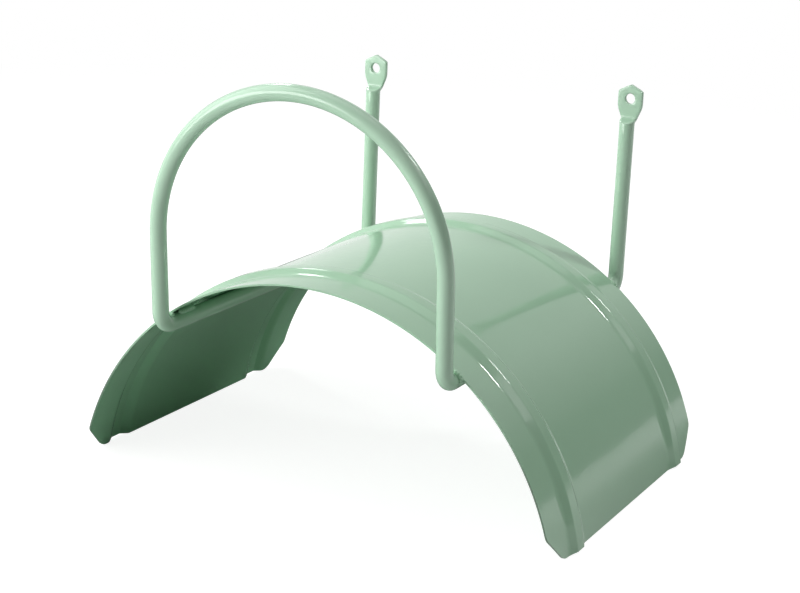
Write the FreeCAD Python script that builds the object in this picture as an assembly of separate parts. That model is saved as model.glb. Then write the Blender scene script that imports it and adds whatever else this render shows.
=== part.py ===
import FreeCAD, Part
import math
import os

# A wall-mounted hose hanger: a ribbed sheet saddle welded onto one bent rod.
# The origin lies midway between the two screw holes, on the wall.
# +Z is up, the wall is on the +Y side, and +X is to the right of someone facing the wall.

Vector = FreeCAD.Vector

# Saddle: one sheet rolled to an arch, with a rib pressed outwards near each rim. Millimetres and degrees.
arch_radius = 132.3          # outer face of the sheet
arch_half_angle = 80.0       # from the crown to each lower edge
saddle_depth = 185.2         # front rim to rear rim
sheet_thickness = 0.9
rib_setback = 28.2           # each rim to the middle of the rib beside it
rib_crest_width = 7.2        # flat top of a rib
rib_height = 2.5
rib_wall_angle = 27.0        # slope of a rib's sides
rib_end_draw = 1.4           # how far pressing draws in a rib's ends
corner_clip = 14.0           # each corner is cut off at 45 degrees by this much
corner_round = 8.0           # and eased by this radius where the cut meets the rims

# Rod: one length of round bar, with a flattened and drilled tab at each end.
rod_diameter = 8.0
hole_spacing = 153.0         # also sets how far apart the uprights, the runners and the hoop's legs stand
hole_above_crown = 71.5
hoop_above_crown = 96.3      # top of the hoop
hoop_lean = 3.2              # the hoop tips forwards from upright
front_bend_inside_radius = 4.3
rear_bend_inside_radius = 3.8
front_bend_gap = 0.3         # front rim to where the rod starts to turn up
rear_bend_gap = 0.8          # rear rim to where the rod starts to turn up
seat_gap = 0.05              # between the runners and the sheet that is welded to them

tab_width = 13.6
tab_thickness = 2.5
tab_above_hole = 7.3         # middle of the hole to the tab's point
tab_below_hole = 2.6         # middle of the hole to where the tab starts to narrow
tab_gable = 3.3              # how far the tab's top falls from its point to its sides
tab_corner_round = 0.8
neck_length = 10.2           # over which the bar widens from round to the tab
flat_step = 3.2              # over which the bar's front steps back to the hammered flat, at the neck's foot
hole_diameter = 5.5

# Welds: a short bead under the sheet at each end of each runner, on the side towards the crown.
weld_diameter = 3.2
weld_length = 13.0
weld_setback = 5.0           # each rim to the bead beside it
weld_depth = 1.2             # sheet's inner face to the middle of the bead
weld_off_bar = 3.4           # line where the bar touches the sheet to the middle of the bead

# Places that follow from the sizes above.
rod_radius = rod_diameter / 2
front_bend_radius = front_bend_inside_radius + rod_radius
rear_bend_radius = rear_bend_inside_radius + rod_radius
side_x = hole_spacing / 2
crown_z = -hole_above_crown
axis_z = crown_z - arch_radius
upright_y = -rod_radius
rear_rim_y = upright_y - rear_bend_radius - rear_bend_gap
front_rim_y = rear_rim_y - saddle_depth
runner_reach = arch_radius - sheet_thickness - seat_gap - rod_radius
runner_angle = math.asin(side_x / runner_reach)
runner_z = axis_z + runner_reach * math.cos(runner_angle)
wall_angle = math.radians(rib_wall_angle)
rib_half_width = rib_crest_width / 2 + rib_height / math.tan(wall_angle)
tab_foot_z = -tab_below_hole
neck_foot_z = tab_foot_z - neck_length

ALONG_ARCH_AXIS = Vector(0, 1, 0)
ARCH_CENTRE = Vector(0, 0, axis_z)
SIDES = (-1, 1)
RIBS = (front_rim_y + rib_setback, rear_rim_y - rib_setback)
NECK_STEPS = 4


def bent_line(points, radii):
    """Straight runs through the points, with a tangent arc of the given radius at each inner point."""
    edges = []
    run_start = points[0]
    for before, corner, after, radius in zip(points, points[1:], points[2:], radii):
        back = (before - corner).normalize()
        ahead = (after - corner).normalize()
        half_angle = back.getAngle(ahead) / 2
        inwards = (back + ahead).normalize()
        arc_start = corner + back * (radius / math.tan(half_angle))
        arc_middle = corner + inwards * (radius / math.sin(half_angle) - radius)
        arc_end = corner + ahead * (radius / math.tan(half_angle))
        edges.append(Part.LineSegment(run_start, arc_start).toShape())
        edges.append(Part.Arc(arc_start, arc_middle, arc_end).toShape())
        run_start = arc_end
    edges.append(Part.LineSegment(run_start, points[-1]).toShape())
    return edges


def closed_face(edges):
    return Part.Face(Part.Wire(Part.__sortEdges__(edges)))


def sheet_face_line(depth):
    """Section of one face of the sheet, this deep below its outer face, from front rim to rear rim."""
    half_foot = rib_half_width - depth * math.tan(wall_angle / 2)
    half_crest = rib_crest_width / 2 - depth * math.tan(wall_angle / 2)
    folds = [(-half_foot, 0), (-half_crest, rib_height), (half_crest, rib_height), (half_foot, 0)]
    level = crown_z - depth
    points = [Vector(0, front_rim_y, level)]
    for rib_y in RIBS:
        points += [Vector(0, rib_y + along, level + height) for along, height in folds]
    points.append(Vector(0, rear_rim_y, level))
    return Part.makePolygon(points).Edges


def lower_edge(side):
    """The arch's lower edge on one side: the way out of the sheet, and the way up it, both of length one."""
    end_angle = math.radians(arch_half_angle)
    outwards = Vector(side * math.sin(end_angle), 0, math.cos(end_angle))
    up_arch = Vector(-side * math.cos(end_angle), 0, math.sin(end_angle))
    return outwards, up_arch


def rib_end_cut(side, rib_y):
    """Block with a bowed face that draws in the end of one rib."""
    outwards, up_arch = lower_edge(side)
    depth = rib_height + sheet_thickness
    middle = Vector(0, rib_y, axis_z) + outwards * (arch_radius - depth)
    half_width = Vector(0, rib_half_width, 0)
    bow_start, bow_end = middle - half_width, middle + half_width
    bow = Part.Arc(bow_start, middle + up_arch * rib_end_draw, bow_end).toShape()
    outside = [bow_end, bow_end - up_arch * depth, bow_start - up_arch * depth, bow_start]
    return closed_face([bow] + Part.makePolygon(outside).Edges).extrude(outwards * depth * 3)


def corner_cut(side, rim_y, inwards):
    """Block that clips one corner of the sheet, with its cutting face eased into both rims."""
    outwards, up_arch = lower_edge(side)
    up_arch = up_arch * corner_clip
    along_rim = Vector(0, inwards, 0) * corner_clip
    corner = Vector(0, rim_y, axis_z) + outwards * (arch_radius - corner_clip)
    upper, lower = corner + up_arch * 2, corner + along_rim * 2
    edges = bent_line([upper, corner + up_arch, corner + along_rim, lower], [corner_round] * 2)
    outside = [lower, lower - up_arch, corner - up_arch - along_rim, upper - along_rim, upper]
    edges += Part.makePolygon(outside).Edges
    return closed_face(edges).extrude(outwards * corner_clip * 2)


def make_saddle():
    outer, inner = sheet_face_line(0), sheet_face_line(sheet_thickness)
    rims = [
        Part.LineSegment(Vector(0, y, crown_z), Vector(0, y, crown_z - sheet_thickness)).toShape()
        for y in (front_rim_y, rear_rim_y)
    ]
    section = closed_face(outer + inner + rims)
    section.rotate(ARCH_CENTRE, ALONG_ARCH_AXIS, -arch_half_angle)
    arch = section.revolve(ARCH_CENTRE, ALONG_ARCH_AXIS, 2 * arch_half_angle)
    for side in SIDES:
        arch = arch.cut(corner_cut(side, front_rim_y, 1))
        arch = arch.cut(corner_cut(side, rear_rim_y, -1))
        for rib_y in RIBS:
            arch = arch.cut(rib_end_cut(side, rib_y))
    return arch


def rod_line():
    """Centre line of the round bar: tab, upright, runner, hoop, runner, upright, tab."""
    lean = math.radians(hoop_lean)
    up_leg = Vector(0, -math.sin(lean), math.cos(lean))
    front_turn = math.pi / 2 - lean
    front_corner_y = front_rim_y - front_bend_gap - front_bend_radius * math.tan(front_turn / 2)
    hoop_height = crown_z + hoop_above_crown - rod_radius - runner_z
    leg = up_leg * (hoop_height / math.cos(lean) - side_x)

    left, right = [
        [
            Vector(side * side_x, upright_y, neck_foot_z),
            Vector(side * side_x, upright_y, runner_z),
            Vector(side * side_x, front_corner_y, runner_z),
            Vector(side * side_x, front_corner_y, runner_z) + leg,
        ]
        for side in SIDES
    ]
    hoop_middle = (left[-1] + right[-1]) / 2
    hoop = Part.Arc(left[-1], hoop_middle + up_leg * side_x, right[-1]).toShape()
    radii = [rear_bend_radius, front_bend_radius]
    return bent_line(left, radii) + [hoop] + bent_line(right[::-1], radii[::-1])


def eased(share):
    """Goes from 0 to 1, level at both ends."""
    return (1 - math.cos(math.pi * share)) / 2


def bowed_edge(start, middle, end):
    """Arc through three points, or a straight edge where they are in line."""
    if (middle - (start + end) / 2).Length < 1e-6:
        return Part.LineSegment(start, end).toShape()
    return Part.Arc(start, middle, end).toShape()


def neck_section(x, rise):
    """Outline of the bar this far above the neck's foot, with its back against the wall plane."""
    widened = eased(rise / neck_length)
    flattened = eased(min(rise / flat_step, 1))
    quarter = rod_radius / math.sqrt(2)
    half_tab = tab_width / 2
    round_corners = [(-quarter, -quarter), (quarter, -quarter), (quarter, quarter), (-quarter, quarter)]
    round_middles = [(0, -rod_radius), (rod_radius, 0), (0, rod_radius), (-rod_radius, 0)]
    flat_corners = [(-half_tab, -tab_thickness), (half_tab, -tab_thickness), (half_tab, 0), (-half_tab, 0)]

    def mixed(round_point, flat_point):
        across = round_point[0] * (1 - widened) + flat_point[0] * widened
        back = (upright_y + round_point[1]) * (1 - flattened) + flat_point[1] * flattened
        return Vector(x + across, back, neck_foot_z + rise)

    edges = []
    for here in range(4):
        after = (here + 1) % 4
        flat_middle = [(a + b) / 2 for a, b in zip(flat_corners[here], flat_corners[after])]
        start = mixed(round_corners[here], flat_corners[here])
        end = mixed(round_corners[after], flat_corners[after])
        edges.append(bowed_edge(start, mixed(round_middles[here], flat_middle), end))
    return Part.Wire(edges)


def neck_loft(x, low, high):
    """Length of the neck between two heights above its foot."""
    rises = [low + (high - low) * step / NECK_STEPS for step in range(NECK_STEPS + 1)]
    return Part.makeLoft([neck_section(x, rise) for rise in rises], True)


def flattened_end(side):
    """The step, the widening blade and the gabled tab at one end of the bar, before drilling."""
    x = side * side_x
    step = neck_loft(x, 0, flat_step)
    blade = neck_loft(x, flat_step, neck_length)
    left, right = x - tab_width / 2, x + tab_width / 2
    shoulder_z = tab_above_hole - tab_gable
    outline = [
        Vector(left, 0, tab_foot_z),
        Vector(left, 0, shoulder_z),
        Vector(x, 0, tab_above_hole),
        Vector(right, 0, shoulder_z),
        Vector(right, 0, tab_foot_z),
    ]
    edges = bent_line(outline, [tab_corner_round] * 3)
    edges.append(Part.LineSegment(outline[-1], outline[0]).toShape())
    return [step, blade, closed_face(edges).extrude(Vector(0, -tab_thickness, 0))]


def weld_beads():
    """Four beads, each filling the corner between the bar and the sheet's inner face."""
    inner_radius = arch_radius - sheet_thickness
    front_centre = Vector(0, front_rim_y, axis_z)
    under_sheet = Part.makeCylinder(inner_radius, saddle_depth, front_centre, ALONG_ARCH_AXIS)
    bead_reach = inner_radius - weld_depth
    bead_angle = runner_angle - weld_off_bar / inner_radius
    bead_x, bead_z = bead_reach * math.sin(bead_angle), axis_z + bead_reach * math.cos(bead_angle)
    beads = []
    for side in SIDES:
        for start_y in (front_rim_y + weld_setback, rear_rim_y - weld_setback - weld_length):
            start = Vector(side * bead_x, start_y, bead_z)
            bead = Part.makeCylinder(weld_diameter / 2, weld_length, start, ALONG_ARCH_AXIS)
            beads.append(bead.common(under_sheet))
    return beads


def make_rod_frame():
    path = Part.Wire(rod_line())
    bar_start = Vector(-side_x, upright_y, neck_foot_z)
    bar_section = Part.Wire(Part.makeCircle(rod_radius, bar_start, Vector(0, 0, 1)))
    bar = path.makePipeShell([bar_section], True, False)
    for side in SIDES:
        for piece in flattened_end(side):
            bar = bar.fuse(piece)
        drill_start = Vector(side * side_x, -rod_diameter, 0)
        bar = bar.cut(Part.makeCylinder(hole_diameter / 2, 2 * rod_diameter, drill_start, Vector(0, 1, 0)))
    for bead in weld_beads():
        bar = bar.fuse(bead)
    return bar.removeSplitter()


pieces = {"saddle": make_saddle(), "rod_frame": make_rod_frame()}
os.makedirs("parts", exist_ok=True)
for name, shape in pieces.items():
    shape.exportStep("parts/" + name + ".step")
    box = shape.optimalBoundingBox(False, False)
    print(name, "solids", len(shape.Solids), "valid", shape.isValid(), "cm3", round(shape.Volume / 1000, 2),
          "size", round(box.XLength, 1), round(box.YLength, 1), round(box.ZLength, 1))
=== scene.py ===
# %% [markdown]
# # A hose hanger in sage green gloss paint
# The hanger is a ribbed sheet saddle on one bent rod. The CAD model gives every place and size.
# This lesson dresses it: softer bends, hammered rod ends, weld beads, paint, and a plain studio.

# %% Load the CAD frame
import bmesh
import bpy
import math
from mathutils import Matrix, Vector


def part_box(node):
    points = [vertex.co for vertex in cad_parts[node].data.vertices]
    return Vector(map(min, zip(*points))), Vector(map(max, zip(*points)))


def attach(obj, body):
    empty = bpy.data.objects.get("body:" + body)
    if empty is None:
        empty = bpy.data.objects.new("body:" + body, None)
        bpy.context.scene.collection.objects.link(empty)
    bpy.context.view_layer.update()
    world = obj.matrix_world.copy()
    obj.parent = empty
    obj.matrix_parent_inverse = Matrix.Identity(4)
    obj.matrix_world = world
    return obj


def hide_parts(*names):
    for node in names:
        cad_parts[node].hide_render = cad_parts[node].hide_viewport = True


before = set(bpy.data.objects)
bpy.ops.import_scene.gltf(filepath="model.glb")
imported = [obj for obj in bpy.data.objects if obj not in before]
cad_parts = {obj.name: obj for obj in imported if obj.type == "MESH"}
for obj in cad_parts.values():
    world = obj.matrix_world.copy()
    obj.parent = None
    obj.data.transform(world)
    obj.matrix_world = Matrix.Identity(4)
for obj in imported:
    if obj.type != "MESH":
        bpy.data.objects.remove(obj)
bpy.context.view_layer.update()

MM = 0.001

# %% [markdown]
# ## The camera
# The photograph looks down on the hanger from its front right with a long lens.
# A camera could be placed by eye. Here it stands at the angles and distance that make the hanger's
# outline fit the photograph, so the shape can be judged picture against picture.

# %% Camera
IMAGE_WIDTH = 800
LENS_IN_PIXELS = 1789.84
SENSOR_WIDTH = 36.0
AIM = Vector((-0.96, -104.55, -97.3)) * MM
CAMERA_DISTANCE = 912.27 * MM
TURN, RISE, ROLL = (math.radians(angle) for angle in (27.882, 15.768, 2.307))

back = Vector((math.sin(TURN) * math.cos(RISE), -math.cos(TURN) * math.cos(RISE), math.sin(RISE)))
level_right = Vector((math.cos(TURN), math.sin(TURN), 0))
level_up = back.cross(level_right)
right = math.cos(ROLL) * level_right + math.sin(ROLL) * level_up
up = math.cos(ROLL) * level_up - math.sin(ROLL) * level_right

lens = bpy.data.cameras.new("studio_camera")
lens.sensor_fit = 'HORIZONTAL'
lens.sensor_width = SENSOR_WIDTH
lens.lens = LENS_IN_PIXELS / IMAGE_WIDTH * SENSOR_WIDTH
camera = bpy.data.objects.new("studio_camera", lens)
camera_turn = Matrix((right, up, back)).transposed().to_4x4()
camera.matrix_world = Matrix.Translation(AIM + CAMERA_DISTANCE * back) @ camera_turn
bpy.context.scene.collection.objects.link(camera)
bpy.context.scene.camera = camera
print("lens in mm", round(lens.lens, 2))

# %% [markdown]
# ## Helpers for meshes
# Every piece starts as rows of points. A row across the sheet or a ring round the rod is joined
# to the next row by a strip of four-sided faces, as a loft does in CAD.

# %% Mesh helpers
def between(start, end, count):
    """Evenly spaced values from start to end, both included."""
    return [start + (end - start) * k / (count - 1) for k in range(count)]


def piece_from_rows(name, rows, closed):
    """Mesh object from rows of points; closed rows are rings."""
    across = len(rows[0])
    strips = across if closed else across - 1
    faces = []
    for row in range(len(rows) - 1):
        here, there = row * across, (row + 1) * across
        for k in range(strips):
            beside = (k + 1) % across
            faces.append((here + k, here + beside, there + beside, there + k))
    mesh = bpy.data.meshes.new(name)
    mesh.from_pydata([point for row in rows for point in row], [], faces)
    mesh.shade_smooth()
    piece = bpy.data.objects.new(name, mesh)
    bpy.context.scene.collection.objects.link(piece)
    return piece


print("five places from 0 to 1", between(0, 1, 5))

# %% [markdown]
# ## The saddle
# The real saddle is one sheet of steel. Two ribs are pressed into it, its corners are clipped,
# and it is rolled to an arch. Its section could be a curve with a bevel, but a grid of points
# lets each bend have its own radius and each edge its own cut, so the section is worked out
# along the depth and then carried round the arch.

# %% Sizes of the sheet
ARCH_RADIUS = 132.3 * MM
ARCH_HALF_ANGLE = math.radians(80)
SHEET = 0.9 * MM
RIB_SETBACK = 28.2 * MM
RIB_CREST_WIDTH = 7.2 * MM
RIB_HEIGHT = 2.5 * MM
RIB_WALL = math.radians(27)
FRONT_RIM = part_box("saddle")[0].y
REAR_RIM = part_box("saddle")[1].y
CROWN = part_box("saddle")[1].z - RIB_HEIGHT
ARCH_AXIS = CROWN - ARCH_RADIUS
RIB_HALF_WIDTH = RIB_CREST_WIDTH / 2 + RIB_HEIGHT / math.tan(RIB_WALL)
RIBS = (FRONT_RIM + RIB_SETBACK, REAR_RIM - RIB_SETBACK)
print("depth of the sheet in mm", round((REAR_RIM - FRONT_RIM) / MM, 1))

# %% Section of a rib
RIB_CREST_BEND = 3.0 * MM
RIB_FOOT_BEND = 7.0 * MM
STEPS_PER_BEND = 7


def rounded(corners, radii):
    """Points of a flat line of (along, height) corners with each middle corner rounded."""
    points = []
    for before, corner, after, radius in zip(corners, corners[1:], corners[2:], radii):
        before, corner, after = Vector(before), Vector(corner), Vector(after)
        arrive, leave = (corner - before).normalized(), (after - corner).normalized()
        bend = arrive.angle(leave)
        start = corner - arrive * radius * math.tan(bend / 2)
        for k in range(STEPS_PER_BEND):
            part = bend * k / (STEPS_PER_BEND - 1)
            chord = 2 * radius * math.sin(part / 2)
            turned = math.copysign(part / 2, arrive.x * leave.y - arrive.y * leave.x)
            direction = Vector((arrive.x * math.cos(turned) - arrive.y * math.sin(turned),
                                arrive.x * math.sin(turned) + arrive.y * math.cos(turned)))
            points.append(start + direction * chord)
    return points


def rib_section(rib):
    """Points across a rib, from the flat sheet on one side of it to the flat sheet on the other."""
    half_crest = RIB_CREST_WIDTH / 2
    corners = [(rib - 2 * RIB_HALF_WIDTH, 0), (rib - RIB_HALF_WIDTH, 0),
               (rib - half_crest, RIB_HEIGHT), (rib + half_crest, RIB_HEIGHT),
               (rib + RIB_HALF_WIDTH, 0), (rib + 2 * RIB_HALF_WIDTH, 0)]
    bends = (RIB_FOOT_BEND, RIB_CREST_BEND, RIB_CREST_BEND, RIB_FOOT_BEND)
    return [(point.x, point.y) for point in rounded(corners, bends)]


front_rib, rear_rib = (rib_section(rib) for rib in RIBS)
print("points across a rib", len(front_rib))

# %% Section of the sheet
STEPS_PER_FLANGE = 22
STEPS_PER_PANEL = 26
RIM_CROWDING = 2.0


def flange_steps(rim, inner):
    """Places across a flange, close together at the rim where its corner is clipped."""
    shares = [(k / STEPS_PER_FLANGE) ** RIM_CROWDING for k in range(STEPS_PER_FLANGE)]
    return [rim + (inner - rim) * share for share in shares]


panel_steps = between(front_rib[-1][0], rear_rib[0][0], STEPS_PER_PANEL)[1:-1]
section = [(place, 0.0) for place in flange_steps(FRONT_RIM, front_rib[0][0])]
section += front_rib
section += [(place, 0.0) for place in panel_steps]
section += rear_rib
section += [(place, 0.0) for place in reversed(flange_steps(REAR_RIM, rear_rib[-1][0]))]
print("points across the sheet", len(section))

# %% [markdown]
# The corners are clipped at 45 degrees and the clip is rounded at both its ends. A Boolean could
# cut them, but then the faces along the cut would be ragged. Instead, each line along the arch is
# made as long as the cut leaves it, so the rows of faces follow the corner.

# %% Clipped corners
CORNER_CLIP = 14.0 * MM
CORNER_SIDE_ROUND = 5.0 * MM
CORNER_FOOT_ROUND = 9.0 * MM
CLIP_TURN = math.radians(45)
RIB_END_DRAW = 0.4 * MM


def half_chord(radius, off_middle):
    """Half the width of a circle at a distance from its middle."""
    return math.sqrt(radius ** 2 - off_middle ** 2)


def clipped(place):
    """How far up from the lower edge the clipped corner reaches at a place across the sheet."""
    inside = min(place - FRONT_RIM, REAR_RIM - place)
    side_ease = CORNER_SIDE_ROUND * math.tan(CLIP_TURN / 2)
    foot_ease = CORNER_FOOT_ROUND * math.tan(CLIP_TURN / 2)
    if inside < side_ease * math.sin(CLIP_TURN):
        return CORNER_CLIP + side_ease - half_chord(CORNER_SIDE_ROUND, CORNER_SIDE_ROUND - inside)
    if inside < CORNER_CLIP - foot_ease * math.cos(CLIP_TURN):
        return CORNER_CLIP - inside
    if inside < CORNER_CLIP + foot_ease:
        return CORNER_FOOT_ROUND - half_chord(CORNER_FOOT_ROUND, CORNER_CLIP + foot_ease - inside)
    return 0.0


def drawn_in(place):
    """How far up the pressing has drawn the end of a rib at a place across the sheet."""
    off_rib = min(abs(place - rib) for rib in RIBS) / RIB_HALF_WIDTH
    return RIB_END_DRAW * max(0.0, 1 - off_rib ** 2)


print("the clip reaches up the rim by", round(clipped(FRONT_RIM) / MM, 1), "mm")

# %% [markdown]
# The grid of points is the sheet's outer face. Solidify gives it the sheet's thickness towards the
# arch's axis, Bevel eases the cut edges, and Weighted Normal keeps the broad faces smooth up to them.

# %% Saddle mesh
ARCH_STEPS = 200
EDGE_EASE = 0.42 * MM
EASE_STEPS = 3
SHARP_EDGE = math.radians(50)


def dress(piece, node):
    """The piece stands for a CAD node, which is hidden, and rides on the root body; prints how far apart
    their boxes are, in mm.
    """
    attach(piece, "root")
    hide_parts(node)
    shown = piece.evaluated_get(bpy.context.evaluated_depsgraph_get())
    low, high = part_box(node)
    corners = [Vector(corner) for corner in shown.bound_box]
    gaps = [round((min(corner[k] for corner in corners) - low[k]) / MM, 2) for k in range(3)]
    gaps += [round((max(corner[k] for corner in corners) - high[k]) / MM, 2) for k in range(3)]
    print(piece.name, "faces", len(shown.data.polygons), "box against CAD in mm", gaps)


rows = []
for place, height in section:
    end_angle = ARCH_HALF_ANGLE - (clipped(place) + drawn_in(place)) / ARCH_RADIUS
    reach = ARCH_RADIUS + height
    rows.append([
        (reach * math.sin(angle), place, ARCH_AXIS + reach * math.cos(angle))
        for angle in between(-end_angle, end_angle, ARCH_STEPS)
    ])
saddle = piece_from_rows("saddle_sheet", rows, closed=False)
thickness = saddle.modifiers.new("sheet thickness", 'SOLIDIFY')
thickness.thickness = SHEET
thickness.offset = -1.0
thickness.use_even_offset = True
ease = saddle.modifiers.new("eased cut edges", 'BEVEL')
ease.width = EDGE_EASE
ease.segments = EASE_STEPS
ease.limit_method = 'ANGLE'
ease.angle_limit = SHARP_EDGE
saddle.modifiers.new("flat faces lead", 'WEIGHTED_NORMAL')
dress(saddle, "saddle")

# %% [markdown]
# ## The rod frame
# One length of round bar makes the tabs, uprights, runners and hoop. A curve with a round bevel
# would do for the bar but not for its ends, which are hammered flat and drilled.
# So half of the bar is lofted ring by ring, from the point of a tab to the top of the hoop,
# and a Mirror modifier makes the other half.

# %% Sizes of the rod
ROD_RADIUS = 4.0 * MM
SIDE = 76.5 * MM
HOOP_LEAN = math.radians(3.2)
FRONT_BEND = 8.3 * MM
REAR_BEND = 7.8 * MM
FRONT_BEND_GAP = 0.3 * MM
SEAT_GAP = 0.05 * MM
NECK_FOOT = -12.8 * MM
RUNNER_REACH = ARCH_RADIUS - SHEET - SEAT_GAP - ROD_RADIUS
RUNNER_HEIGHT = ARCH_AXIS + math.sqrt(RUNNER_REACH ** 2 - SIDE ** 2)
UPRIGHT_Y = -ROD_RADIUS

lean_up = Vector((0, -math.sin(HOOP_LEAN), math.cos(HOOP_LEAN)))
front_turn = math.pi / 2 - HOOP_LEAN
front_setback = FRONT_BEND * math.tan(front_turn / 2)
front_corner = FRONT_RIM - FRONT_BEND_GAP - front_setback
hoop_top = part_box("rod_frame")[1].z - ROD_RADIUS
leg_length = (hoop_top - RUNNER_HEIGHT) / math.cos(HOOP_LEAN) - SIDE
leg_top = Vector((-SIDE, front_corner, RUNNER_HEIGHT)) + lean_up * leg_length
hoop_centre = leg_top + Vector((SIDE, 0, 0))
print("runners at", round(RUNNER_HEIGHT / MM, 1), "mm, legs of the hoop", round(leg_length / MM, 1), "mm")

# %% Line of the rod
UPRIGHT_RINGS, BEND_RINGS, RUNNER_RINGS, LEG_RINGS, HOOP_RINGS = 14, 15, 20, 12, 40
DOWN, FORWARDS = Vector((0, 0, -1)), Vector((0, -1, 0))


def turned_about_x(vector, angle):
    """The vector turned within the rod's side plane."""
    return Matrix.Rotation(angle, 3, 'X') @ vector


def arc_stations(start, heading, radius, bend, count):
    """Centres and headings round a bend in the side plane; a positive bend turns forwards, then up."""
    middle = start + turned_about_x(heading, -math.pi / 2) * radius
    return [
        (middle + turned_about_x(start - middle, -part), turned_about_x(heading, -part))
        for part in between(0, bend, count)
    ]


bend_start = Vector((-SIDE, UPRIGHT_Y, RUNNER_HEIGHT + REAR_BEND))
upright_heights = between(NECK_FOOT, bend_start.z, UPRIGHT_RINGS)[:-1]
side_line = [(Vector((-SIDE, UPRIGHT_Y, height)), DOWN) for height in upright_heights]
side_line += arc_stations(bend_start, DOWN, REAR_BEND, math.pi / 2, BEND_RINGS)
runner_start = side_line[-1][0]
runner_end = Vector((-SIDE, front_corner + front_setback, RUNNER_HEIGHT))
runner_places = between(runner_start.y, runner_end.y, RUNNER_RINGS)[1:-1]
side_line += [(Vector((-SIDE, y, RUNNER_HEIGHT)), FORWARDS) for y in runner_places]
side_line += arc_stations(runner_end, FORWARDS, FRONT_BEND, front_turn, BEND_RINGS)
leg_start = side_line[-1][0]
side_line += [(leg_start.lerp(leg_top, share), lean_up) for share in between(0, 1, LEG_RINGS)[1:-1]]

hoop_line = []
for angle in between(math.pi, math.pi / 2, HOOP_RINGS):
    outwards = Vector((math.cos(angle), 0, 0)) + lean_up * math.sin(angle)
    heading = Vector((math.sin(angle), 0, 0)) - lean_up * math.cos(angle)
    hoop_line.append((hoop_centre + outwards * SIDE, heading))
print("rings along half of the rod", len(side_line) + len(hoop_line))

# %% [markdown]
# Each end of the bar is hammered flat, so it spreads to a tab with a blunt gable. On the way there
# the round section turns into a flat one over a short step, and widens over a longer neck.
# Scaled circles would leave the tab's edges thin and its faces domed. A superellipse gives every
# section between: it is round at squareness 2 and nears a rectangle as that grows.

# %% Shape of the flattened end
RING_POINTS = 48
TAB_WIDTH = 13.6 * MM
TAB_TOP = 7.3 * MM
TAB_GABLE = 3.3 * MM
TIP_HALF_WIDTH = 0.4 * MM
SHOULDER_CRISPNESS = 10


def ring_angles(count):
    """Angles of the points of a ring."""
    return [2 * math.pi * k / count for k in range(count)]


def squared_ring(height, half_width, half_depth, squareness):
    """Level ring with its back on the wall."""
    centre = Vector((-SIDE, -half_depth, height))
    power = 2 / squareness
    points = []
    for angle in ring_angles(RING_POINTS):
        across, depth = math.cos(angle), math.sin(angle)
        across = math.copysign(abs(across) ** power, across) * half_width
        depth = math.copysign(abs(depth) ** power, depth) * half_depth
        points.append(centre + Vector((across, -depth, 0)))
    return points


def tab_half_width(height):
    """Half the tab's width at a height: full below its shoulders, then falling to a blunt point."""
    full = TAB_WIDTH / 2
    slope = full * (TAB_TOP - height) / TAB_GABLE + TIP_HALF_WIDTH
    return (slope ** -SHOULDER_CRISPNESS + full ** -SHOULDER_CRISPNESS) ** (-1 / SHOULDER_CRISPNESS)


print("blunt tip of the tab in mm", round(2 * tab_half_width(TAB_TOP) / MM, 2))

# %% Rings of the tab and neck
TAB_THICKNESS = 2.5 * MM
TAB_FOOT = -2.6 * MM
FLAT_STEP = 3.2 * MM
ROUND, TAB_SQUARENESS = 2, 7.0
GABLE_REACH = 1.4 * TAB_GABLE
GABLE_RINGS, FLAT_RINGS, NECK_RINGS, STEP_RINGS = 22, 6, 12, 16


def eased(share):
    """Goes from 0 to 1, level at both ends."""
    return (1 - math.cos(math.pi * share)) / 2


shoulder, step_top = TAB_TOP - GABLE_REACH, NECK_FOOT + FLAT_STEP
rings = [
    squared_ring(height, tab_half_width(height), TAB_THICKNESS / 2, TAB_SQUARENESS)
    for height in between(TAB_TOP, shoulder, GABLE_RINGS)
]
rings += [
    squared_ring(height, TAB_WIDTH / 2, TAB_THICKNESS / 2, TAB_SQUARENESS)
    for height in between(shoulder, TAB_FOOT, FLAT_RINGS)[1:]
]
neck_heights = between(TAB_FOOT, step_top, NECK_RINGS)[1:]
neck_heights += between(step_top, NECK_FOOT, STEP_RINGS)[1:-1]
for height in neck_heights:
    widened = eased((height - NECK_FOOT) / (TAB_FOOT - NECK_FOOT))
    flattened = eased(min((height - NECK_FOOT) / FLAT_STEP, 1))
    half_width = ROD_RADIUS + (TAB_WIDTH / 2 - ROD_RADIUS) * widened
    half_depth = ROD_RADIUS + (TAB_THICKNESS / 2 - ROD_RADIUS) * flattened
    squareness = ROUND + (TAB_SQUARENESS - ROUND) * flattened
    rings.append(squared_ring(height, half_width, half_depth, squareness))
print("rings of the flattened end", len(rings))

# %% Half rod
RIGHTWARDS, WALLWARDS, UPWARDS = Vector((1, 0, 0)), Vector((0, 1, 0)), Vector((0, 0, 1))


def round_ring(middle, across, over, radius, count):
    """Round ring about a middle, in the plane of two directions."""
    return [
        middle + (across * math.cos(angle) + over * math.sin(angle)) * radius
        for angle in ring_angles(count)
    ]


depth_axes = [heading.cross(RIGHTWARDS) for centre, heading in side_line]
depth_axes += [lean_up.cross(RIGHTWARDS)] * len(hoop_line)
for (centre, heading), depth_axis in zip(side_line + hoop_line, depth_axes):
    rings.append(round_ring(centre, depth_axis.cross(heading), depth_axis, ROD_RADIUS, RING_POINTS))
rod = piece_from_rows("rod_bar", rings, closed=True)

tip = bmesh.new()
tip.from_mesh(rod.data)
tip.verts.ensure_lookup_table()
tip.faces.new([tip.verts[k] for k in reversed(range(RING_POINTS))])
bmesh.ops.recalc_face_normals(tip, faces=tip.faces)
tip.to_mesh(rod.data)
tip.free()
print("rings of the half rod", len(rings))

# %% [markdown]
# The screw hole is drilled last, as in the workshop: a Boolean modifier takes a cylinder out of
# the tab. Its rims are then eased, because paint never sits on a knife edge.

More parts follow.
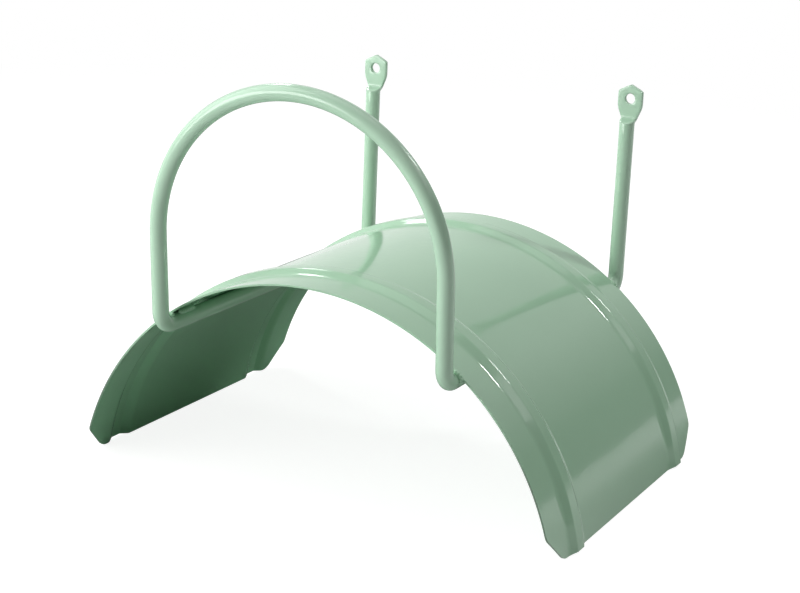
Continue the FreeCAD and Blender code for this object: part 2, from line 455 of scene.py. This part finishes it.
# %% Screw hole
HOLE_RADIUS = 2.75 * MM
DRILL_POINTS = 40
DRILL_REACH = 12 * MM


def close_ends(piece):
    """Caps the open ends of a piece made of rings and turns all its faces outwards."""
    shell = bmesh.new()
    shell.from_mesh(piece.data)
    bmesh.ops.holes_fill(shell, edges=shell.edges)
    bmesh.ops.recalc_face_normals(shell, faces=shell.faces)
    shell.to_mesh(piece.data)
    shell.free()
    piece.data.shade_smooth()


drill_rows = [
    round_ring(Vector((-SIDE, y, 0)), RIGHTWARDS, UPWARDS, HOLE_RADIUS, DRILL_POINTS)
    for y in (-DRILL_REACH, DRILL_REACH)
]
drill = piece_from_rows("drill", drill_rows, closed=True)
close_ends(drill)
hole = rod.modifiers.new("screw hole", 'BOOLEAN')
hole.operation = 'DIFFERENCE'
hole.solver = 'EXACT'
hole.object = drill
bpy.context.view_layer.update()
drilled = bpy.data.meshes.new_from_object(rod.evaluated_get(bpy.context.evaluated_depsgraph_get()))
rod.modifiers.clear()
rod.data = drilled
bpy.data.objects.remove(drill)
print("faces of the drilled half rod", len(drilled.polygons))

# %% Eased hole and other half
HOLE_EASE = 0.35 * MM
ROUND_PROFILE = 0.5
ON_HOLE = 0.02 * MM
SMOOTH_UP_TO = math.radians(60)
MERGE_WITHIN = 0.01 * MM


def on_hole_rim(edge):
    """Whether an edge is one of the sharp edges where the hole meets a face of the tab."""
    off_hole = [abs(math.hypot(v.co.x + SIDE, v.co.z) - HOLE_RADIUS) for v in edge.verts]
    return max(off_hole) < ON_HOLE and len(edge.link_faces) == 2 and edge.calc_face_angle() > SHARP_EDGE


tab = bmesh.new()
tab.from_mesh(drilled)
rims = [edge for edge in tab.edges if on_hole_rim(edge)]
bmesh.ops.bevel(tab, geom=rims, offset=HOLE_EASE, segments=EASE_STEPS, profile=ROUND_PROFILE, affect='EDGES')
tab.to_mesh(drilled)
tab.free()
drilled.shade_smooth()
drilled.set_sharp_from_angle(angle=SMOOTH_UP_TO)
mirror = rod.modifiers.new("other half", 'MIRROR')
mirror.use_axis[0] = True
mirror.merge_threshold = MERGE_WITHIN
dress(rod, "rod_frame")
print("eased edges round the hole", len(rims))

# %% [markdown]
# ## The weld beads
# The rod is welded to the sheet from below, with a short bead at each end of each runner.
# A bead is laid in small pools, so it swells and narrows along its length. A bump in the paint
# would leave its outline straight, so rings of changing size give the ripple, and both ends run out
# to a blunt point.

# %% Shape of a bead
POOL_LENGTH = 1.3 * MM
POOL_SWELL = 0.07
TAPER_POWER = 6
BLUNT_END = 0.02
BEAD_RING_POINTS = 20
BEAD_RINGS = 61
BEAD_SHARES = between(-1, 1, BEAD_RINGS)


def weld_bead(name, radius, length, line):
    """One rippled bead; line gives each ring's middle and the two directions across the bead there."""
    bead_rings = []
    for share, (middle, across, over) in zip(BEAD_SHARES, line):
        taper = math.sqrt(max(1 - share ** TAPER_POWER, BLUNT_END))
        pool = 1 + POOL_SWELL * math.cos(math.pi * share * length / POOL_LENGTH)
        swell = radius * taper * pool / (1 + POOL_SWELL)
        bead_rings.append(round_ring(middle, across, over, swell, BEAD_RING_POINTS))
    bead = piece_from_rows(name, bead_rings, closed=True)
    close_ends(bead)
    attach(bead, "root")
    return bead


print("points of a bead", BEAD_RINGS * BEAD_RING_POINTS)

# %% Beads along the runners
WELD_RADIUS = 1.6 * MM
WELD_LENGTH = 13.0 * MM
WELD_SETBACK = 5.0 * MM
WELD_DEPTH = 1.2 * MM
WELD_OFF_BAR = 3.4 * MM
HANDS = (("left", -1), ("right", 1))

contact_angle = math.asin(SIDE / RUNNER_REACH)
weld_angle = contact_angle - WELD_OFF_BAR / (ARCH_RADIUS - SHEET)
weld_reach = ARCH_RADIUS - SHEET - WELD_DEPTH
weld_x = weld_reach * math.sin(weld_angle)
weld_z = ARCH_AXIS + weld_reach * math.cos(weld_angle)
from_rim = WELD_SETBACK + WELD_LENGTH / 2
welds = []
for hand, side in HANDS:
    for edge, middle_y in (("front", FRONT_RIM + from_rim), ("rear", REAR_RIM - from_rim)):
        middles = [
            Vector((side * weld_x, middle_y + share * WELD_LENGTH / 2, weld_z)) for share in BEAD_SHARES
        ]
        line = [(middle, RIGHTWARDS, UPWARDS) for middle in middles]
        welds.append(weld_bead("weld_" + edge + "_" + hand, WELD_RADIUS, WELD_LENGTH, line))
print("weld beads", [weld.name for weld in welds])

# %% [markdown]
# Close up, the photograph shows a small lump where the rod passes under a rim: the weld also runs
# a little way round the bar. A straight bead can't do that, so this one is bent about the rod's line.

# %% Beads at the rims
RIM_WELD_RADIUS = 1.4 * MM
RIM_WELD_SPREAD = math.radians(62)
RIM_WELD_PROUD = 0.3

rim_weld_reach = ROD_RADIUS + RIM_WELD_PROUD * RIM_WELD_RADIUS
rim_weld_length = 2 * RIM_WELD_SPREAD * rim_weld_reach
for hand, side in HANDS:
    for edge, rim in (("front", FRONT_RIM), ("rear", REAR_RIM)):
        under_rim = Vector((side * SIDE, rim, RUNNER_HEIGHT))
        line = []
        for share in BEAD_SHARES:
            angle = contact_angle + share * RIM_WELD_SPREAD
            outwards = Vector((side * math.sin(angle), 0, math.cos(angle)))
            line.append((under_rim + outwards * rim_weld_reach, outwards, WALLWARDS))
        welds.append(weld_bead("weld_" + edge + "_rim_" + hand, RIM_WELD_RADIUS, rim_weld_length, line))
print("welds at the rims, length in mm", round(rim_weld_length / MM, 1))

# %% [markdown]
# ## The paint
# The hanger is sprayed with gloss enamel. Two things make sprayed enamel look real: a fine
# orange-peel ripple in the gloss, and a slight drift of colour and shine where the coat is
# thicker or thinner. Both are node groups, because the sheet, rod and welds all use them.

# %% Orange peel
FLOAT, COLOUR = 'NodeSocketFloat', 'NodeSocketColor'
FINE_DETAIL, WAVE_DETAIL = 2.0, 1.0


def new_group(name, inputs, outputs):
    """Shader node group with named sockets; returns the tree and its input and output nodes."""
    tree = bpy.data.node_groups.new(name, 'ShaderNodeTree')
    for label, kind, value in inputs:
        socket = tree.interface.new_socket(label, in_out='INPUT', socket_type=kind)
        socket.default_value = value
    for label, kind in outputs:
        tree.interface.new_socket(label, in_out='OUTPUT', socket_type=kind)
    return tree, tree.nodes.new('NodeGroupInput'), tree.nodes.new('NodeGroupOutput')


def clouds(tree, size, detail):
    """Socket of a noise that lies on the piece itself."""
    place = tree.nodes.new('ShaderNodeTexCoord')
    noise = tree.nodes.new('ShaderNodeTexNoise')
    noise.inputs['Detail'].default_value = detail
    tree.links.new(place.outputs['Object'], noise.inputs['Vector'])
    tree.links.new(size, noise.inputs['Scale'])
    return noise.outputs['Fac']


peel_group, peel_in, peel_out = new_group(
    "orange_peel",
    [("Size", FLOAT, 500.0), ("Wave Size", FLOAT, 30.0), ("Wave Share", FLOAT, 0.5)],
    [("Height", FLOAT)])
mix = peel_group.nodes.new('ShaderNodeMix')
peel_group.links.new(peel_in.outputs['Wave Share'], mix.inputs['Factor'])
peel_group.links.new(clouds(peel_group, peel_in.outputs['Size'], FINE_DETAIL), mix.inputs['A'])
peel_group.links.new(clouds(peel_group, peel_in.outputs['Wave Size'], WAVE_DETAIL), mix.inputs['B'])
peel_group.links.new(mix.outputs['Result'], peel_out.inputs['Height'])
print("node group", peel_group.name, "with", len(peel_group.nodes), "nodes")

# %% Drift of the coat
DRIFT_DETAIL = 4.0
CLOUD_RANGE = (0.3, 0.7)


def share_between(tree, value, ends, results=(0.0, 1.0), curve='LINEAR'):
    """Socket that goes from one result to the other as a value goes from one end to the other."""
    share = tree.nodes.new('ShaderNodeMapRange')
    share.interpolation_type = curve
    share.inputs['From Min'].default_value, share.inputs['From Max'].default_value = ends
    share.inputs['To Min'].default_value, share.inputs['To Max'].default_value = results
    tree.links.new(value, share.inputs['Value'])
    return share.outputs['Result']


drift_group, drift_in, drift_out = new_group(
    "coat_drift",
    [("Thick Coat", COLOUR, (0.3, 0.5, 0.4, 1)), ("Thin Coat", COLOUR, (0.4, 0.6, 0.5, 1)),
     ("Size", FLOAT, 20.0), ("Least Roughness", FLOAT, 0.1), ("Most Roughness", FLOAT, 0.2)],
    [("Colour", COLOUR), ("Roughness", FLOAT)])
thinness = share_between(
    drift_group, clouds(drift_group, drift_in.outputs['Size'], DRIFT_DETAIL), CLOUD_RANGE)
tint = drift_group.nodes.new('ShaderNodeMix')
tint.data_type = 'RGBA'
drift_group.links.new(thinness, tint.inputs['Factor'])
drift_group.links.new(drift_in.outputs['Thick Coat'], tint.inputs['A'])
drift_group.links.new(drift_in.outputs['Thin Coat'], tint.inputs['B'])
shine = share_between(drift_group, thinness, (0.0, 1.0))
drift_group.links.new(drift_in.outputs['Least Roughness'], shine.node.inputs['To Min'])
drift_group.links.new(drift_in.outputs['Most Roughness'], shine.node.inputs['To Max'])
drift_group.links.new(tint.outputs['Result'], drift_out.inputs['Colour'])
drift_group.links.new(shine, drift_out.inputs['Roughness'])
print("node group", drift_group.name, "with", len(drift_group.nodes), "nodes")

# %% [markdown]
# The three finishes share one enamel and differ in how it lies. On the broad sheet it lies glossy over
# slight waves left by rolling. On the rod it is smooth, and its colour is painted paler than the sheet's: a
# painted lightening for the sheen that washes over the lit rods. On the welds it is a little thick and dull.
# One function makes all three, so they stay one paint.

# %% Enamel
ENAMEL_IOR = 1.5


def enamel(name, thick, thin, drift_size, roughness, peel, depth):
    """Gloss enamel under a fine ripple; peel is the ripple's size, its waves' size and their share."""
    material = bpy.data.materials.new(name)
    material.use_nodes = True
    nodes, links = material.node_tree.nodes, material.node_tree.links
    shader = nodes['Principled BSDF']
    shader.inputs['IOR'].default_value = ENAMEL_IOR
    drift = nodes.new('ShaderNodeGroup')
    drift.node_tree = drift_group
    drift.inputs['Thick Coat'].default_value = (*thick, 1)
    drift.inputs['Thin Coat'].default_value = (*thin, 1)
    drift.inputs['Size'].default_value = drift_size
    for label, value in zip(("Least Roughness", "Most Roughness"), roughness):
        drift.inputs[label].default_value = value
    ripple = nodes.new('ShaderNodeGroup')
    ripple.node_tree = peel_group
    for label, value in zip(("Size", "Wave Size", "Wave Share"), peel):
        ripple.inputs[label].default_value = value
    bump = nodes.new('ShaderNodeBump')
    bump.inputs['Distance'].default_value = depth
    bump.inputs['Strength'].default_value = 1.0
    links.new(drift.outputs['Colour'], shader.inputs['Base Color'])
    links.new(drift.outputs['Roughness'], shader.inputs['Roughness'])
    links.new(ripple.outputs['Height'], bump.inputs['Height'])
    links.new(bump.outputs['Normal'], shader.inputs['Normal'])
    return material


head_on = ((ENAMEL_IOR - 1) / (ENAMEL_IOR + 1)) ** 2
print("share of the light that the gloss mirrors head on", round(head_on, 3))

# %% Finishes of the sheet, rod and welds
THICK_COAT, THIN_COAT = (0.365, 0.60, 0.41), (0.39, 0.63, 0.435)
# The rod's two coats are painted paler than the sheet's: a painted lightening for the sheen over the lit
# rods.
ROD_LIGHTENED_COAT, ROD_LIGHTENED_THIN_COAT = (0.43, 0.645, 0.474), (0.455, 0.67, 0.50)
sheet_finish = enamel("sheet_enamel", THICK_COAT, THIN_COAT, drift_size=9.0,
                      roughness=(0.08, 0.13), peel=(260.0, 14.0, 0.9), depth=0.5 * MM)
rod_finish = enamel("rod_enamel", ROD_LIGHTENED_COAT, ROD_LIGHTENED_THIN_COAT, drift_size=25.0,
                    roughness=(0.12, 0.18), peel=(300.0, 60.0, 0.6), depth=0.015 * MM)
weld_finish = enamel("weld_enamel", THICK_COAT, THIN_COAT, drift_size=60.0,
                     roughness=(0.20, 0.30), peel=(500.0, 200.0, 0.5), depth=0.1 * MM)
finishes = [(saddle, sheet_finish), (rod, rod_finish)] + [(weld, weld_finish) for weld in welds]
for piece, finish in finishes:
    piece.data.materials.clear()
    piece.data.materials.append(finish)
print("finishes", {piece.name: finish.name for piece, finish in finishes})

# %% [markdown]
# The cut edge is painted dark, deepest low down, and the underside is painted a deeper green than the top:
# both are painted shade. Separate materials would leave a hard line, so both follow from which way a face
# looks: straight out from the arch's axis on top, towards the axis below, and sideways on the cut edge.

# %% Which way a face of the sheet looks
LEAVE_OUT_DEPTH = (1, 0, 1)
tree = sheet_finish.node_tree
place = tree.nodes.new('ShaderNodeTexCoord')
normal = tree.nodes.new('ShaderNodeNewGeometry')
off_axis = tree.nodes.new('ShaderNodeVectorMath')
off_axis.operation = 'MULTIPLY_ADD'
off_axis.inputs[1].default_value = LEAVE_OUT_DEPTH
off_axis.inputs[2].default_value = (0, 0, -ARCH_AXIS)
outwards = tree.nodes.new('ShaderNodeVectorMath')
outwards.operation = 'NORMALIZE'
looks_out = tree.nodes.new('ShaderNodeVectorMath')
looks_out.operation = 'DOT_PRODUCT'
either_way = tree.nodes.new('ShaderNodeMath')
either_way.operation = 'ABSOLUTE'
tree.links.new(place.outputs['Object'], off_axis.inputs[0])
tree.links.new(off_axis.outputs['Vector'], outwards.inputs[0])
tree.links.new(outwards.outputs['Vector'], looks_out.inputs[0])
tree.links.new(normal.outputs['Normal'], looks_out.inputs[1])
tree.links.new(looks_out.outputs['Value'], either_way.inputs[0])
print("the arch's axis is at", round(ARCH_AXIS / MM, 1), "mm")

# %% Painted shade on the cut edge and underside of the sheet
# Painted shade: the underside takes a deeper green, and the cut edge a dark green that deepens low down.
EDGE_PAINTED_SHADE = (0.13, 0.205, 0.145, 1)
UNDERSIDE_PAINTED_SHADE = (0.28, 0.54, 0.335, 1)
SIDEWAYS, OUTWARDS = 0.35, 0.75
EDGE_SHADE_HEIGHTS = (-108 * MM, -140 * MM)
LEAST_EDGE_SHADE = 0.1

height = tree.nodes.new('ShaderNodeSeparateXYZ')
tree.links.new(place.outputs['Object'], height.inputs['Vector'])
shaded_edge = tree.nodes.new('ShaderNodeMath')
shaded_edge.operation = 'MULTIPLY'
low_down = share_between(tree, height.outputs['Z'], EDGE_SHADE_HEIGHTS, (LEAST_EDGE_SHADE, 1.0))
tree.links.new(low_down, shaded_edge.inputs[0])
tree.links.new(share_between(tree, either_way.outputs[0], (OUTWARDS, SIDEWAYS)), shaded_edge.inputs[1])
shaded_underside = share_between(tree, looks_out.outputs['Value'], (-SIDEWAYS, -OUTWARDS))

base_colour = tree.nodes['Principled BSDF'].inputs['Base Color']
coat = base_colour.links[0].from_socket
# Each layer paints shade over the enamel, first on the underside, then on the cut edge.
for share, colour in ((shaded_underside, UNDERSIDE_PAINTED_SHADE), (shaded_edge.outputs[0], EDGE_PAINTED_SHADE)):
    layer = tree.nodes.new('ShaderNodeMix')
    layer.data_type = 'RGBA'
    layer.inputs['B'].default_value = colour
    tree.links.new(share, layer.inputs['Factor'])
    tree.links.new(coat, layer.inputs['A'])
    coat = layer.outputs['Result']
tree.links.new(coat, base_colour)
print("layers over the sheet's enamel", [node.name for node in tree.nodes if node.type == 'MIX'])

# %% [markdown]
# ## The studio
# The hanger stands on white paper that runs out into a white background. To the camera the paper is
# white with a soft shadow. Gloss paint also mirrors the paper: there it is evenly bright, apart from
# a shaded place under the arch and to its left, which keeps the inside of the arch deep green.
# More light would bleach the paint, so the white comes from Light Path, which tells camera rays and
# mirrored rays from the rest.

# %% Floor
FLOOR_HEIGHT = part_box("saddle")[0].z
FLOOR_SIDES = (-4.0, 4.0)
floor_rows = [[(x, y, FLOOR_HEIGHT) for x in FLOOR_SIDES] for y in FLOOR_SIDES]
floor = piece_from_rows("paper_floor", floor_rows, closed=False)
print("floor at", round(FLOOR_HEIGHT / MM, 1), "mm")

# %% Paper as the camera and the gloss see it
PAPER_GLOW = 0.88
PAPER_WHITE = (2.5, 2.5, 2.5, 1)
FAR_PAPER = (0.5, 1.1)
PAPER_SHADE, PAPER_MIRRORED = 0.08, 1.0
SHADE_MIDDLE = (-0.15, 0.05)
SHADE_REACH = (0.25, 0.42)


def blend_of(tree, share, first, second):
    """Shader that goes from the first to the second as the share goes from 0 to 1."""
    blend = tree.nodes.new('ShaderNodeMixShader')
    tree.links.new(share, blend.inputs['Fac'])
    tree.links.new(first.outputs[0], blend.inputs[1])
    tree.links.new(second.outputs[0], blend.inputs[2])
    return blend


paper = bpy.data.materials.new("white_paper")
paper.use_nodes = True
tree = paper.node_tree
tree.nodes.remove(tree.nodes['Principled BSDF'])
place = tree.nodes.new('ShaderNodeTexCoord')
off_middle = tree.nodes.new('ShaderNodeVectorMath')
off_middle.operation = 'DISTANCE'
off_middle.inputs[1].default_value = (*SHADE_MIDDLE, FLOOR_HEIGHT)
tree.links.new(place.outputs['Object'], off_middle.inputs[0])
distance = off_middle.outputs['Value']

shadowed = tree.nodes.new('ShaderNodeBsdfDiffuse')
shadowed.inputs['Color'].default_value = PAPER_WHITE
whiteness = share_between(tree, distance, FAR_PAPER, (PAPER_GLOW, 1.0), 'SMOOTHSTEP')
camera_paper = blend_of(tree, whiteness, shadowed, tree.nodes.new('ShaderNodeEmission'))
mirrored_paper = tree.nodes.new('ShaderNodeEmission')
shade = share_between(tree, distance, SHADE_REACH, (PAPER_SHADE, PAPER_MIRRORED), 'SMOOTHSTEP')
tree.links.new(shade, mirrored_paper.inputs['Strength'])
by_camera = tree.nodes.new('ShaderNodeLightPath').outputs['Is Camera Ray']
seen_paper = blend_of(tree, by_camera, mirrored_paper, camera_paper)
print("nodes of the seen paper", len(tree.nodes))

# %% Paper as other light meets it
PAPER_BOUNCE = (0.75, 0.75, 0.75, 1)


def greater(tree, first, second):
    """Socket with the greater of two values."""
    greatest = tree.nodes.new('ShaderNodeMath')
    greatest.operation = 'MAXIMUM'
    tree.links.new(first, greatest.inputs[0])
    tree.links.new(second, greatest.inputs[1])
    return greatest.outputs[0]


def seen_white(tree, lit, white):
    """Shader that is white to the camera and in reflections, and lit as usual for all other light."""
    rays = tree.nodes.new('ShaderNodeLightPath').outputs
    mirrored = greater(tree, rays['Is Glossy Ray'], rays['Is Transmission Ray'])
    return blend_of(tree, greater(tree, rays['Is Camera Ray'], mirrored), lit, white)


bounce = tree.nodes.new('ShaderNodeBsdfDiffuse')
bounce.inputs['Color'].default_value = PAPER_BOUNCE
whole_paper = seen_white(tree, bounce, seen_paper)
tree.links.new(whole_paper.outputs[0], tree.nodes['Material Output'].inputs['Surface'])
floor.data.materials.append(paper)
print("floor finish", paper.name, "with", len(tree.nodes), "nodes")

# %% [markdown]
# The air is white to the camera too, but gives almost no light of its own: the lamps do that.
# In reflections it falls off to grey on the right and below, as a studio does away from its lamps,
# and that shades the right side of the rods and ribs.

# %% World
WHITE = (1, 1, 1, 1)
AIR_STRENGTH = 0.05
LIT_SIDE = (-0.5, 0.0, 1.0)
FALLOFF_REACH = (-0.05, 0.3)
FALLOFF_GREY = 0.2

world = bpy.data.worlds.new("white_studio")
bpy.context.scene.world = world
world.use_nodes = True
tree = world.node_tree
air = tree.nodes['Background']
air.inputs['Color'].default_value = WHITE
air.inputs['Strength'].default_value = AIR_STRENGTH
direction = tree.nodes.new('ShaderNodeTexCoord')
towards_lit_side = tree.nodes.new('ShaderNodeVectorMath')
towards_lit_side.operation = 'DOT_PRODUCT'
towards_lit_side.inputs[1].default_value = LIT_SIDE
tree.links.new(direction.outputs['Generated'], towards_lit_side.inputs[0])
falloff = share_between(tree, towards_lit_side.outputs['Value'], FALLOFF_REACH, (FALLOFF_GREY, 1.0))
by_camera = tree.nodes.new('ShaderNodeLightPath').outputs['Is Camera Ray']
white_air = tree.nodes.new('ShaderNodeBackground')
white_air.inputs['Color'].default_value = WHITE
tree.links.new(greater(tree, falloff, by_camera), white_air.inputs['Strength'])
whole_air = seen_white(tree, air, white_air)
tree.links.new(whole_air.outputs[0], tree.nodes['World Output'].inputs['Surface'])
bpy.context.scene.view_settings.view_transform = 'Standard'
print("light from the air", AIR_STRENGTH)

# %% [markdown]
# A large box lights the hanger from the upper left, and a weaker one from the top. A low fill from
# the front left keeps the rods and tabs bright. Two small lamps at the back draw the narrow highlights
# along the ribs, and a small box on the right lightens the ribs' flanks. Area lamps are used because
# their edges show in gloss paint, as the photograph's do.

# %% Lamps
HANGER_MIDDLE = Vector((0, -0.1, -0.1))


def soft_box(name, place, size, power):
    """Area lamp that looks at the middle of the hanger."""
    lamp = bpy.data.lights.new(name, 'AREA')
    lamp.shape = 'RECTANGLE'
    lamp.size, lamp.size_y = size
    lamp.energy = power
    box = bpy.data.objects.new(name, lamp)
    box.location = place
    box.rotation_euler = (HANGER_MIDDLE - Vector(place)).to_track_quat('-Z', 'Y').to_euler()
    bpy.context.scene.collection.objects.link(box)


soft_box("key_box", (-1.15, -0.66, 0.86), size=(1.5, 1.5), power=17)
soft_box("top_box", (0.0, -0.05, 1.3), size=(1.0, 1.0), power=4)
soft_box("back_lamp_right", (0.77, 0.65, 0.94), size=(0.16, 0.26), power=5)
soft_box("back_lamp_left", (-0.88, 0.60, 0.92), size=(0.16, 0.26), power=3)
soft_box("side_fill", (-0.8, -1.2, 0.0), size=(0.8, 0.8), power=14)
soft_box("right_box", (0.97, 0.0, 0.76), size=(0.42, 0.42), power=1.0)
print("lamps and their power in W", {lamp.name: lamp.energy for lamp in bpy.data.lights})
